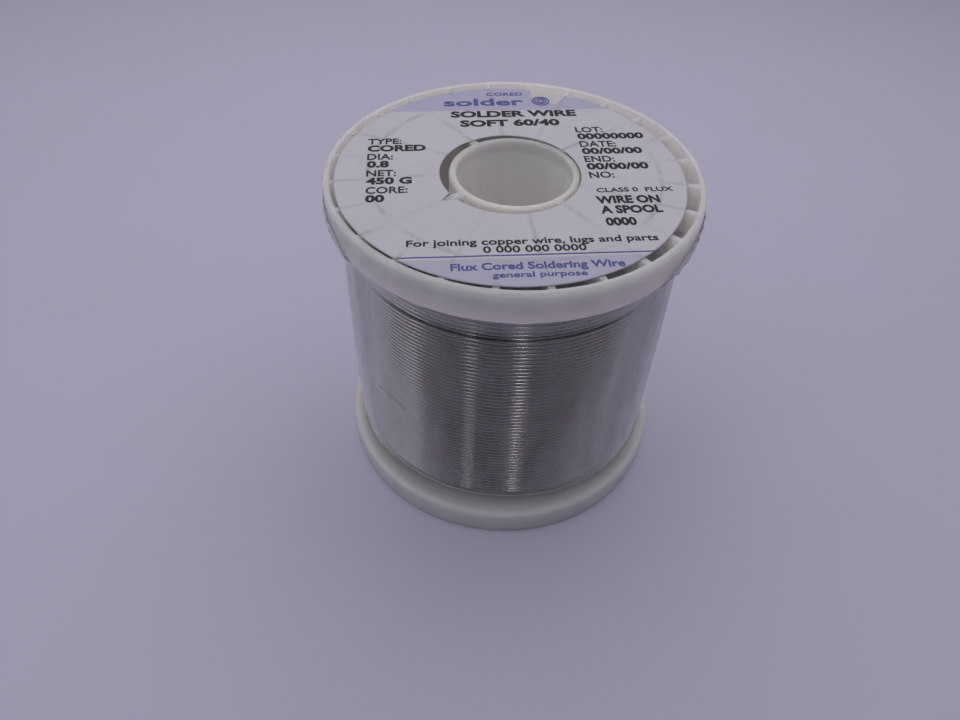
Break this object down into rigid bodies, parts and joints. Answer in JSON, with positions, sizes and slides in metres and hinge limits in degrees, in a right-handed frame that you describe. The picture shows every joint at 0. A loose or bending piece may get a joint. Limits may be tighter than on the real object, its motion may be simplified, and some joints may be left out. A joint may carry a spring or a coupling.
{
  "type": "solder wire spool",
  "caption": "Two-flange plastic spool wound with level layers of soldering wire under clear film, with a through bore and a paper label.",
  "frame": {"origin": "centre of the lower flange's resting face", "axes": "+Z along the spool's axis, from the resting face to the labelled flange; -Y towards the viewer of the label's text"},
  "size_m": [0.0635, 0.0634, 0.0615],
  "materials": {
    "spool_plastic": "satin moulded polystyrene",
    "solder": "drawn tin-lead wire, satin",
    "film": "clear glossy stretch film",
    "label_paper": null
  },
  "bodies": {
    "root": {"lower_spool_half": "spool_plastic", "upper_spool_half": "spool_plastic", "solder_layer_01": "solder", "solder_layer_02": "solder", "solder_layer_03": "solder", "solder_layer_04": "solder", "solder_layer_05": "solder", "solder_layer_06": "solder", "solder_layer_07": "solder", "solder_layer_08": "solder", "solder_layer_09": "solder", "solder_layer_10": "solder", "solder_layer_11": "solder", "solder_layer_12": "solder", "solder_layer_13": "solder", "solder_layer_14": "solder", "film_wrap": "film", "upper_label": "label_paper"}
  },
  "joints": []
}
